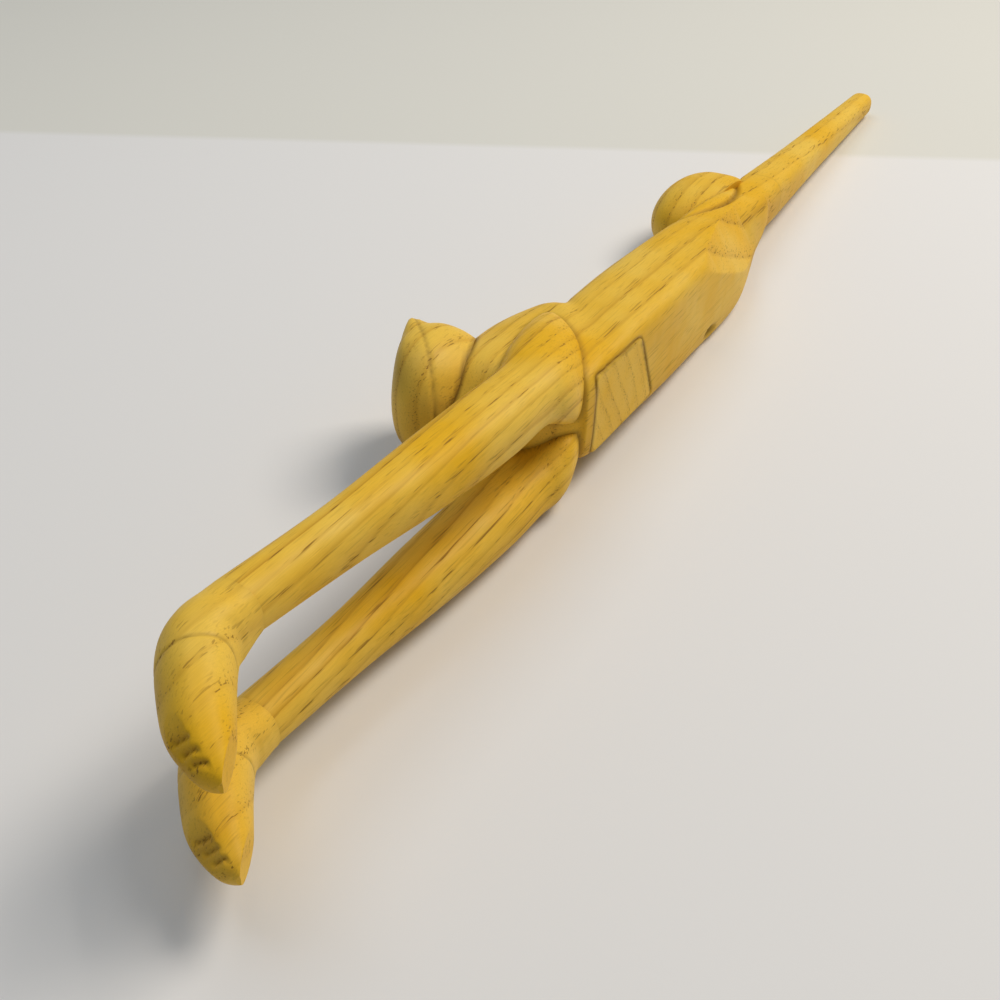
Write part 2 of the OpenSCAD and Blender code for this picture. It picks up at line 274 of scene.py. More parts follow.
@dataclass(frozen=True, kw_only=True)
class Push(Tool):
    """A cut that pushes the surface in by a share of its depth."""

    depth: float

    def share(self, points: np.ndarray) -> np.ndarray:
        """Share of the depth at each point.

        Args:
            points: Surface points.

        Returns:
            One value from 0 to 1 per point.
        """
        raise NotImplementedError

    def cut(self, points: np.ndarray, normals: np.ndarray) -> tuple[np.ndarray, np.ndarray]:
        """Pushes the surface in.

        Args:
            points: Surface points.
            normals: Outward directions there.

        Returns:
            The moved points and how dark the cut leaves each of them.
        """
        share = self.share(points)
        return points - normals * (share * self.depth)[:, None], share * self.painted_shade_and_dark_wood


def knife_edge(off: np.ndarray, width: float) -> np.ndarray:
    """Profile of a V cut.

    Args:
        off: Distances from the middle of the cut.
        width: Half width of the cut.

    Returns:
        One value from 0 to 1 per distance.
    """
    return np.clip(1 - off / width, 0, 1) ** 1.4


@dataclass(frozen=True)
class Groove(Push):
    """A knife's V cut where the surface meets a plane."""

    point: Triple
    normal: Triple
    width: float
    zone: Zone = EVERYWHERE

    def share(self, points: np.ndarray) -> np.ndarray:
        """Share of the depth, full on the line.

        Args:
            points: Surface points.

        Returns:
            One value from 0 to 1 per point.
        """
        across = np.array(self.normal) / np.linalg.norm(self.normal)
        off = np.abs((points - np.array(self.point)) @ across)
        return knife_edge(off, self.width) * self.zone.weight(points)


@dataclass(frozen=True)
class Hollow(Push):
    """A round dish, or with a negative depth a round swelling."""

    centre: Triple
    radius: Triple

    def share(self, points: np.ndarray) -> np.ndarray:
        """Share of the depth, full in the middle of the dish.

        Args:
            points: Surface points.

        Returns:
            One value from 0 to 1 per point.
        """
        off = np.linalg.norm((points - np.array(self.centre)) / np.array(self.radius), axis=1)
        return np.clip(1 - off**2, 0, 1) ** 1.5


@dataclass(frozen=True)
class Crease(Push):
    """A knife's V cut where the surface meets an egg-shaped outline."""

    centre: Triple
    radius: Triple
    width: float

    def share(self, points: np.ndarray) -> np.ndarray:
        """Share of the depth, full on the outline.

        Args:
            points: Surface points.

        Returns:
            One value from 0 to 1 per point.
        """
        reach = np.linalg.norm((points - np.array(self.centre)) / np.array(self.radius), axis=1)
        return knife_edge(np.abs(reach - 1) * min(self.radius), self.width)


@dataclass(frozen=True)
class Slit(Push):
    """A short V cut between two points, worked from one side."""

    start: np.ndarray
    end: np.ndarray
    side: np.ndarray
    width: float

    def share(self, points: np.ndarray) -> np.ndarray:
        """Share of the depth, full between the two points.

        Args:
            points: Surface points.

        Returns:
            One value from 0 to 1 per point.
        """
        long = np.linalg.norm(self.end - self.start)
        run = (self.end - self.start) / long
        across = np.cross(run, self.side)
        off = points - self.start
        over = np.maximum(np.maximum(-(off @ run), off @ run - long), 0)
        near = knife_edge(np.abs(off @ across) / np.linalg.norm(across), self.width)
        return near * np.clip(1 - over, 0, 1) * (off @ self.side > -3)


def smooth_rows(rows: list[list[float]], spacing: float) -> np.ndarray:
    """Adds rows on a smooth curve between the drawn ones.

    Args:
        rows: Drawn rows: x, y, z, turn, half depth, half width, squareness of back and belly.
        spacing: Wanted distance between two rows.

    Returns:
        The dense rows.
    """
    drawn = np.array(rows, float)
    last = len(drawn) - 1
    dense = []
    for i in range(last):
        a, b = drawn[max(i - 1, 0)], drawn[i]
        c, d = drawn[i + 1], drawn[min(i + 2, last)]
        span = max(np.linalg.norm(c[:3] - b[:3]), np.abs(c[4:6] - b[4:6]).max())
        count = max(2, math.ceil(span / spacing))
        for t in np.arange(count) / count:
            dense.append(b + 0.5 * t * (c - a + t * (2 * a - 5 * b + 4 * c - d + t * (3 * (b - c) + d - a))))
    dense.append(drawn[last])
    return np.array(dense)


def closed_end(row: list[float], length: float, count: int = 8) -> list[list[float]]:
    """Rows that round off an end along a quarter circle.

    Args:
        row: The row that the end starts from.
        length: How far the end stands out along X.
        count: Number of rows.

    Returns:
        The rows after the given one.
    """
    ends = []
    for k in range(1, count + 1):
        a = math.radians(80 * k / count)
        c = math.cos(a)
        ends.append([row[0] + length * math.sin(a), *row[1:4], row[4] * c, row[5] * c, *row[6:]])
    return ends


def section(row: np.ndarray, count: int) -> np.ndarray:
    """Evenly spaced points around one row's section.

    Args:
        row: A row of a carved piece.
        count: Number of points.

    Returns:
        The points in the carving's frame.
    """
    a = np.linspace(0, 2 * math.pi, 721)
    c, s = np.cos(a), np.sin(a)
    e = 2 / np.where(c < 0, row[7], row[6])
    u = row[4] * np.sign(c) * np.abs(c) ** e
    v = row[5] * np.sign(s) * np.abs(s) ** e
    run = np.concatenate([[0], np.cumsum(np.hypot(np.diff(u), np.diff(v)))])
    at = np.arange(count) * run[-1] / count
    u, v = np.interp(at, run, u), np.interp(at, run, v)
    turn = math.radians(row[3])
    return np.stack([row[0] - u * math.sin(turn), row[1] + u * math.cos(turn), row[2] + v], axis=1)


class Graph:
    """Adds and joins the nodes of one tree."""

    def __init__(self, tree: bpy.types.NodeTree) -> None:
        """Starts on an empty tree.

        Args:
            tree: The tree of a material, world or node group.
        """
        self.tree = tree
        tree.nodes.clear()

    def add(self, kind: str, inputs: dict | None = None, **settings) -> bpy.types.Node:
        """Adds one node.

        Args:
            kind: Node type.
            inputs: Values or output sockets for its inputs, by name or number.
            settings: Properties of the node.

        Returns:
            The node.
        """
        node = self.tree.nodes.new(kind)
        for name, value in settings.items():
            setattr(node, name, value)
        for name, value in (inputs or {}).items():
            if isinstance(value, bpy.types.NodeSocket):
                self.tree.links.new(value, node.inputs[name])
            else:
                node.inputs[name].default_value = value
        return node

    def math(self, operation: str, *values, clamp: bool = False) -> bpy.types.NodeSocket:
        """Adds a sum.

        Args:
            operation: Kind of sum.
            values: Numbers or sockets.
            clamp: Whether the result is kept between 0 and 1.

        Returns:
            The result's socket.
        """
        inputs = dict(enumerate(values))
        return self.add("ShaderNodeMath", inputs, operation=operation, use_clamp=clamp).outputs[0]

    def ramp(self, value: bpy.types.NodeSocket, stops: list[tuple[float, float]]) -> bpy.types.NodeSocket:
        """Adds a curve from stops of position and height.

        Args:
            value: The socket it reads.
            stops: Positions and heights, from 0 to 1.

        Returns:
            The curve's output.
        """
        node = self.add("ShaderNodeValToRGB", {0: value})
        ramp = node.color_ramp
        while len(ramp.elements) < len(stops):
            ramp.elements.new(1.0)
        for element, (at, height) in zip(ramp.elements, stops):
            element.position = at
            element.color = (height, height, height, 1)
        return node.outputs[0]

    def mix(self, share, first, second, blend: str = "MIX") -> bpy.types.NodeSocket:
        """Mixes two colours.

        Args:
            share: Number or socket.
            first: Colour at share 0.
            second: Colour at share 1.
            blend: Way of mixing.

        Returns:
            The mixed colour.
        """
        inputs = {0: share, 6: first, 7: second}
        return self.add("ShaderNodeMix", inputs, data_type="RGBA", blend_type=blend).outputs[2]

    def vector(self, operation: str, inputs: dict) -> bpy.types.Node:
        """Adds a sum of vectors.

        Args:
            operation: Kind of sum.
            inputs: Values or sockets by name or number.

        Returns:
            The node.
        """
        return self.add("ShaderNodeVectorMath", inputs, operation=operation)


def new_group(
    name: str, ins: dict[str, str], outs: dict[str, str]
) -> tuple[bpy.types.NodeTree, Graph, bpy.types.Node]:
    """Starts a shared node group.

    Args:
        name: Name of the group.
        ins: Socket types of its inputs by name.
        outs: Socket types of its outputs by name.

    Returns:
        The group, its graph and its input node.
    """
    tree = bpy.data.node_groups.new(name, "ShaderNodeTree")
    for label, kind in ins.items():
        tree.interface.new_socket(label, in_out="INPUT", socket_type=kind)
    for label, kind in outs.items():
        tree.interface.new_socket(label, in_out="OUTPUT", socket_type=kind)
    graph = Graph(tree)
    return tree, graph, graph.add("NodeGroupInput")


def growth_rings() -> bpy.types.NodeTree:
    """Group of the log's growth rings: late wood lines and a tone for each ring.

    Returns:
        The group; it reads a place in mm.
    """
    tree, g, given = new_group(
        "growth_rings",
        {"Place": "NodeSocketVector", "Spacing": "NodeSocketFloat"},
        {"Late": "NodeSocketFloat", "Tone": "NodeSocketFloat"},
    )
    slow = g.add("ShaderNodeMapping", {"Vector": given.outputs["Place"], "Scale": (0.3, 1.0, 1.0)})
    bend = g.add("ShaderNodeTexNoise", {"Vector": slow.outputs[0], "Scale": 0.03, "Detail": 2.0})
    shift = g.vector("SUBTRACT", {0: bend.outputs["Color"], 1: (0.5, 0.5, 0.5)})
    warp = g.vector("SCALE", {0: shift.outputs[0], "Scale": 7.0})
    moved = g.vector("ADD", {0: given.outputs["Place"], 1: warp.outputs[0]})
    across = g.vector("MULTIPLY", {0: moved.outputs[0], 1: (0.0, 1.0, 1.0)})
    far = g.vector("LENGTH", {0: across.outputs[0]})
    count = g.math("DIVIDE", far.outputs["Value"], given.outputs["Spacing"])
    place = g.math("FRACT", count)
    late = g.ramp(place, [(0.0, 0.75), (0.1, 0.06), (0.55, 0.1), (0.86, 0.55), (0.95, 1.0)])
    number = g.math("FLOOR", count)
    tone = g.add("ShaderNodeTexWhiteNoise", {"W": number}, noise_dimensions="1D")
    g.add("NodeGroupOutput", {"Late": late, "Tone": tone.outputs["Value"]})
    return tree


def wood_pores() -> bpy.types.NodeTree:
    """Group of the open pores: short dark dashes along the length.

    Returns:
        The group; it reads a place in mm and where the late wood is.
    """
    tree, g, given = new_group(
        "wood_pores",
        {"Place": "NodeSocketVector", "Late": "NodeSocketFloat"},
        {"Pores": "NodeSocketFloat", "Fibre": "NodeSocketFloat"},
    )
    long_place = g.add("ShaderNodeMapping", {"Vector": given.outputs["Place"], "Scale": (0.07, 1.9, 1.9)})
    dashes = g.add("ShaderNodeTexNoise", {"Vector": long_place.outputs[0], "Scale": 1.0, "Detail": 1.5})
    cut = g.ramp(dashes.outputs["Fac"], [(0.0, 0.0), (0.585, 0.0), (0.66, 1.0)])
    near = g.math("MULTIPLY_ADD", given.outputs["Late"], 0.85, 0.12)
    pores = g.math("MULTIPLY", cut, near, clamp=True)
    fine = g.add("ShaderNodeMapping", {"Vector": given.outputs["Place"], "Scale": (0.16, 5.0, 5.0)})
    fibre = g.add("ShaderNodeTexNoise", {"Vector": fine.outputs[0], "Scale": 1.0, "Detail": 3.0})
    g.add("NodeGroupOutput", {"Pores": pores, "Fibre": fibre.outputs["Fac"]})
    return tree


def hand_marks() -> bpy.types.NodeTree:
    """Group of the soft unevenness that a knife and sandpaper leave, and broad tone changes.

    Returns:
        The group; it reads a place in mm.
    """
    tree, g, given = new_group(
        "hand_marks",
        {"Place": "NodeSocketVector"},
        {"Height": "NodeSocketFloat", "Blotch": "NodeSocketFloat"},
    )
    inputs = {"Vector": given.outputs["Place"], "Scale": 0.11, "Smoothness": 0.6}
    facets = g.add("ShaderNodeTexVoronoi", inputs, feature="SMOOTH_F1")
    soft = g.add("ShaderNodeTexNoise", {"Vector": given.outputs["Place"], "Scale": 0.08, "Detail": 2.0})
    height = g.math("MULTIPLY_ADD", facets.outputs["Distance"], 0.35, soft.outputs["Fac"])
    blotch = g.add("ShaderNodeTexNoise", {"Vector": given.outputs["Place"], "Scale": 0.03, "Detail": 3.0})
    g.add("NodeGroupOutput", {"Height": height, "Blotch": blotch.outputs["Fac"]})
    return tree


@dataclass(frozen=True)
class WoodFinish:
    """Waxed pale wood: colours, ring spacing in mm and where the log's middle lies."""

    name: str
    pale: Triple = (0.87, 0.57, 0.075)
    gold: Triple = (0.83, 0.47, 0.012)
    late: Triple = (0.52, 0.25, 0.01)
    pore: Triple = (0.22, 0.10, 0.012)
    # Dark brown of the painted shade in cuts and seams, and of darker wood.
    shade_and_dark_wood_tone: Triple = (0.10, 0.045, 0.01)
    spacing: float = 4.2
    ring: float = 0.5
    pith: Triple = (0.0, -60.0, 30.0)
    lean: Triple = (0.0, 1.0, 1.5)
    rough: float = 0.5

    def material(self, groups: dict[str, bpy.types.NodeTree]) -> bpy.types.Material:
        """Makes the material.

        Args:
            groups: The shared node groups by name.

        Returns:
            The material.
        """
        mat = bpy.data.materials.new(self.name)
        mat.use_nodes = True
        g = Graph(mat.node_tree)
        coords = g.add("ShaderNodeTexCoord")
        turn = tuple(math.radians(v) for v in self.lean)
        inputs = {"Vector": coords.outputs["Object"], "Scale": (1 / MM, 1 / MM, 1 / MM)}
        inputs |= {"Location": self.pith, "Rotation": turn}
        place = g.add("ShaderNodeMapping", inputs).outputs[0]
        inputs = {"Place": place, "Spacing": self.spacing}
        rings = g.add("ShaderNodeGroup", inputs, node_tree=groups["growth_rings"])
        inputs = {"Place": place, "Late": rings.outputs["Late"]}
        pores = g.add("ShaderNodeGroup", inputs, node_tree=groups["wood_pores"])
        marks = g.add("ShaderNodeGroup", {"Place": place}, node_tree=groups["hand_marks"])
        painted_shade_and_dark_wood = g.add("ShaderNodeAttribute", attribute_name="painted_shade_and_dark_wood").outputs["Fac"]
        warmth = g.ramp(marks.outputs["Blotch"], [(0.36, 0.0), (0.64, 1.0)])
        base = g.mix(warmth, (*self.pale, 1), (*self.gold, 1))
        strength = g.math("MULTIPLY_ADD", rings.outputs["Tone"], self.ring, self.ring * 0.4)
        ring_share = g.math("MULTIPLY", rings.outputs["Late"], strength)
        base = g.mix(ring_share, base, (*self.late, 1))
        base = g.mix(g.math("MULTIPLY", pores.outputs["Pores"], 0.8), base, (*self.pore, 1))
        fibre = g.ramp(pores.outputs["Fibre"], [(0.3, 0.9), (0.7, 1.0)])
        base = g.mix(1.0, base, fibre, "MULTIPLY")
        # Painted shade in cuts, creases and seams, with the head's darker wood, mixes the colour towards
        # dark brown.
        shade_and_dark_wood_share = g.math("MULTIPLY", painted_shade_and_dark_wood, 0.9, clamp=True)
        base = g.mix(shade_and_dark_wood_share, base, (*self.shade_and_dark_wood_tone, 1))
        rough = g.math("MULTIPLY_ADD", marks.outputs["Blotch"], 0.16, self.rough - 0.08)
        rough = g.math("MULTIPLY_ADD", pores.outputs["Pores"], 0.25, rough)
        low = g.math("MULTIPLY", pores.outputs["Pores"], -0.35)
        low = g.math("MULTIPLY_ADD", pores.outputs["Fibre"], 0.12, low)
        grain = g.add("ShaderNodeBump", {"Strength": 0.35, "Distance": 0.0004, "Height": low})
        inputs = {"Strength": 0.5, "Distance": 0.0012, "Height": marks.outputs["Height"]}
        knife = g.add("ShaderNodeBump", inputs | {"Normal": grain.outputs[0]})
        inputs = {"Base Color": base, "Roughness": rough, "Specular IOR Level": 0.2}
        shader = g.add("ShaderNodeBsdfPrincipled", inputs | {"Normal": knife.outputs[0]})
        g.add("ShaderNodeOutputMaterial", {"Surface": shader.outputs[0]})
        return mat


@dataclass
class Carving:
    """One carved piece: rows bridged into a closed skin, then worked with knife tools."""

    name: str
    sizes: Sizes
    lay: Lay
    finish: bpy.types.Material
    side: Side = Side.LEFT
    points_round: int = 72
    spacing: float = 1.4
    crisp: float = 38.0

    def rows(self) -> np.ndarray:
        """Dense rows of the piece.

        Returns:
            The rows, first end to last.
        """
        raise NotImplementedError

    def tools(self) -> list[Tool]:
        """Knife work on the skin.

        Returns:
            The tools in the order they are used.
        """
        return []

    def shape(self, points: np.ndarray, row: np.ndarray) -> np.ndarray:
        """Shapes one ring further, such as for ears.

        Args:
            points: The ring's points.
            row: The ring's row.

        Returns:
            The shaped points.
        """
        return points

    def skin(self) -> bmesh.types.BMesh:
        """Bridges the rings and closes both ends.

        Returns:
            The closed surface, in mm in the carving's frame.
        """
        bm = bmesh.new()
        loops = []
        for row in self.rows():
            ring = bmesh.ops.create_circle(bm, segments=self.points_round, radius=1.0)["verts"]
            for vert, point in zip(ring, self.shape(section(row, self.points_round), row)):
                vert.co = point
            loops.append(list(dict.fromkeys(e for v in ring for e in v.link_edges)))
        for low, high in zip(loops, loops[1:]):
            bmesh.ops.bridge_loops(bm, edges=low + high)
        for loop in (loops[0], loops[-1]):
            cap = bmesh.ops.contextual_create(bm, geom=loop)["faces"]
            bmesh.ops.poke(bm, faces=cap)
        bmesh.ops.recalc_face_normals(bm, faces=bm.faces)
        return bm

    def carve(self, bm: bmesh.types.BMesh) -> None:
        """Works the skin with the piece's tools and keeps the painted shade of each cut, with any darker
        wood, on the vertices.

        Args:
            bm: The skin; changed in place.
        """
        # Painted shade for cuts, creases and seams, with darker wood on the head's lower face.
        layer = bm.verts.layers.float.new("painted_shade_and_dark_wood")
        painted_shade_and_dark_wood = np.zeros(len(bm.verts))
        for tool in self.tools():
            bm.normal_update()
            points = np.array([v.co for v in bm.verts])
            normals = np.array([v.normal for v in bm.verts])
            points, dark = tool.cut(points, normals)
            painted_shade_and_dark_wood = np.maximum(painted_shade_and_dark_wood, dark)
            for vert, point in zip(bm.verts, points):
                vert.co = point
        for vert, dark in zip(bm.verts, painted_shade_and_dark_wood):
            vert[layer] = float(dark)

    def settle(self, bm: bmesh.types.BMesh) -> bpy.types.Object:
        """Lays the worked skin in the shared frame as an object.

        Args:
            bm: The worked skin; freed here.

        Returns:
            The object.
        """
        points = np.array([v.co for v in bm.verts])
        points[:, 2] *= self.side.value
        for vert, point in zip(bm.verts, self.lay.place(points)):
            vert.co = (point[0], point[1], max(point[2], 0.0))
        bmesh.ops.recalc_face_normals(bm, faces=bm.faces)
        limit = math.radians(self.crisp)
        for face in bm.faces:
            face.smooth = True
        for edge in bm.edges:
            edge.smooth = edge.calc_face_angle(0.0) < limit
        mesh = bpy.data.meshes.new(self.name)
        bm.to_mesh(mesh)
        bm.free()
        mesh.materials.append(self.finish)
        obj = bpy.data.objects.new(self.name, mesh)
        bpy.context.scene.collection.objects.link(obj)
        return obj

    def build(self, node: str) -> bpy.types.Object:
        """Makes the piece in place of its node.

        Args:
            node: Name of the solid that the piece stands for.

        Returns:
            The object.
        """
        bm = self.skin()
        self.carve(bm)
        obj = self.settle(bm)
        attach(obj, BODY)
        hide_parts(node)
        log.info("%s: %d faces", self.name, len(obj.data.polygons))
        return obj


@dataclass
class Torso(Carving):
    """Chest, shoulder hump, squarish trunk and haunches."""

    points_round: int = 168
    spacing: float = 0.8
    crisp: float = 70.0

    def trunk(
        self, x: float, belly: float, back: float, half: float, square: float, edge: float, lean: float = 0
    ) -> list[float]:
        """One row of the trunk, leaning back along the shoulder blade.

        Args:
            x: Place along the body at the pin's height.
            belly: Height of the belly.
            back: Height of the back.
            half: Half width.
            square: Squareness on the back.
            edge: Squareness on the belly.
            lean: Lean in degrees.

        Returns:
            The row.
        """
        z = self.sizes
        y = (belly + back) / 2
        rise = z.back_rise * max(x, 0) / z.torso_len
        t = math.radians(lean)
        deep = (back - belly) / 2 / math.cos(t)
        return [x + math.tan(t) * y, y + rise, 0, -lean, deep, half, square, edge]

    def rows(self) -> np.ndarray:
        """Dense rows from the chest to the tail seam.

        Returns:
            The rows.
        """
        z = self.sizes
        r, belly, back, hump = z.shoulder_r, z.belly_y, z.back_y, z.hump_y
        blade = r * 1.95
        root, tail = z.root_y, z.tail_half
        reach, half, long = z.shoulder_reach, z.torso_half, z.torso_len
        lean, step = z.blade_lean, z.blade_step
        drawn = [
            self.trunk(-r * 1.3, -belly * 0.5, hump, z.tongue_face * 1.4, 2.6, 2.6),
            self.trunk(-r * 0.6, belly * 0.2, hump * 1.25, reach * 0.58, 2.3, 2.8, 8),
            self.trunk(r * 0.5, belly * 0.8, hump * 1.35, reach * 0.66, 2.2, 3.6, 24),
            self.trunk(r * 1.3, belly * 0.98, hump * 1.16, reach * 0.68, 2.4, 5, lean),
            self.trunk(blade, belly, hump, reach * 0.7, 2.7, 6, lean),
            self.trunk(blade + step * 1.7, belly, back * 1.14, half * 0.91, 3, 6, lean * 0.97),
            self.trunk(blade + r * 2, belly, back * 1.13, half * 0.95, 3, 6, lean * 0.6),
            self.trunk(long * 0.41, belly, back * 1.11, half * 0.99, 3, 6),
            self.trunk(long * 0.55, belly, back * 1.03, half, 3, 6),
            self.trunk(long * 0.645, belly * 0.95, back * 0.98, half * 0.94, 3, 5.5),
            self.trunk(long * 0.73, belly * z.haunch_in, back * 0.96, half * 0.8, 3, 5),
            self.trunk(long * 0.81, belly * z.haunch_in * 0.5, back * 0.97, half * 0.67, 3, 4),
            self.trunk(long * 0.875, belly * 0.1, back * 0.99, half * 0.6, 3, 3.5),
            self.trunk(long * 0.93, root - tail * 1.05, root + tail, tail * 1.05, 3, 3),
            self.trunk(long, root - tail, root + tail, tail, 3, 3),
        ]
        return smooth_rows(drawn, self.spacing)

    def tools(self) -> list[Tool]:
        """Rump seat, thighs, haunch facet, rump crease, panel pocket and the chip at the floor edge; the
        crease, groin, pocket and chip are darkened with painted shade.

        Returns:
            The tools.
        """
        z = self.sizes
        wide = z.panel_w / 2 - 0.7
        low, high = (z.panel_x + 0.9, -99, -wide), (z.panel_x + z.panel_len - 0.9, 0, wide)
        pocket = SlantZone(low, high, 0.3, z.panel_slant)
        seat = Zone((z.rump_x - z.rump_len / 2, 0, -99), (z.rump_x + z.rump_len / 2, 99, 99), 0.5)
        haunch = Zone((z.torso_len * 0.5, -99, 0), (z.torso_len * 0.77, 99, 99), 24.0)
        slope = z.back_rise / z.torso_len
        groin = (z.torso_len * 0.8, z.belly_y * 0.5, -3.0)
        chip = (z.torso_len * 0.5, z.belly_y * 1.1, -z.torso_half * 0.72)
        return [
            Flat((0, z.rump_y, 0), (0, 1, 0), seat),
            *(Hollow((143.0, 11.5, 10.5 * side.value), (30.0, 6.5, 8.0), depth=-1.8) for side in Side),
            Flat((104.0, -5.0, 15.0), (0.19, -0.81, 0.55), haunch),
            # The rump crease, groin hollow, panel pocket and chip carry painted shade.
            Crease((143.0, 17.0, 0), (31.0, 11.5, 60.0), 1.5, depth=1.3, painted_shade_and_dark_wood=0.8),
            Hollow(groin, (22.0, 9.0, 15.0), depth=0.3, painted_shade_and_dark_wood=0.2),
            Flat((0, z.belly_y + 1.3, 0), (slope, -1, 0), pocket, painted_shade_and_dark_wood=0.6),
            Hollow(chip, (5.5, 3.5, 3.2), depth=2.8, painted_shade_and_dark_wood=1.3),
        ]


@dataclass
class Foreleg(Carving):
    """A stretched foreleg from the wrist seam to its round shoulder end."""

    points_round: int = 72
    spacing: float = 1.6

    def leg_row(self, share: float, half_depth: float, square: float) -> list[float]:
        """One row of the leg.

        Args:
            share: 0 at the wrist seam, 1 at the shoulder pin.
            half_depth: Half depth, belly to back.
            square: Squareness.

        Returns:
            The row.
        """
        z = self.sizes
        wrist_out = z.wrist_spread + z.wrist_r
        out = wrist_out + (z.shoulder_reach - wrist_out) * share
        half = z.wrist_r * (1 + (z.foreleg_full - 1) * min(1.0, share * 1.6))
        rise = z.wrist_rise * (1 - share) ** 1.6
        return [-z.foreleg_len * (1 - share), rise, out - half, 0, half_depth, half, square, square]

    def blade_row(
        self, x: float, low: float, high: float, lean: float, out: float, half: float
    ) -> list[float]:
        """One row of the shoulder blade between two heights, leaning back.

        Args:
            x: Place along the body at the pin's height.
            low: Height of its belly side.
            high: Height of its back side.
            lean: Lean in degrees.
            out: Share of the shoulder's reach.
            half: Half width.

        Returns:
            The row.
        """
        y, t = (low + high) / 2, math.radians(lean)
        deep = (high - low) / 2 / math.cos(t)
        return [x + math.tan(t) * y, y, self.sizes.shoulder_reach * out - half, -lean, deep, half, 2.4, 2.4]

    def rows(self) -> np.ndarray:
        """Dense rows from the wrist to the shoulder's end.

        Returns:
            The rows.
        """
        z = self.sizes
        r, lean = z.shoulder_r, z.blade_lean
        half = (z.shoulder_reach - z.tongue_face) * 0.6
        drawn = [
            self.leg_row(0, z.wrist_r, 2.2),
            self.leg_row(0.25, z.wrist_r * 1.01, 2.3),
            self.leg_row(0.5, z.wrist_r * z.foreleg_full, 2.4),
            self.leg_row(0.72, z.wrist_r * z.foreleg_full * 1.12, 2.4),
            self.blade_row(-r * 1.4, -r * 0.86, r * 0.95, 8, 0.985, half * 0.66),
            self.blade_row(-r * 0.5, -r, r * 1.35, lean * 0.5, 1, half * 0.8),
            self.blade_row(r * 0.5, -r * 0.96, r * 1.75, lean * 0.85, 0.96, half),
            self.blade_row(r * 1.2, -r * 0.75, r * 1.85, lean, 0.86, half),
            self.blade_row(r * 1.6, -r * 0.45, r * 1.65, lean, 0.74, half),
            self.blade_row(r * 1.8, 0, r * 1.2, lean, 0.62, half),
        ]
        return smooth_rows(drawn, self.spacing)

    def shape(self, points: np.ndarray, row: np.ndarray) -> np.ndarray:
        """Keeps the inner side flat along the chest.

        Args:
            points: The ring's points.
            row: The ring's row.

        Returns:
            The shaped points.
        """
        points[:, 2] = np.maximum(points[:, 2], self.sizes.tongue_face)
        return points


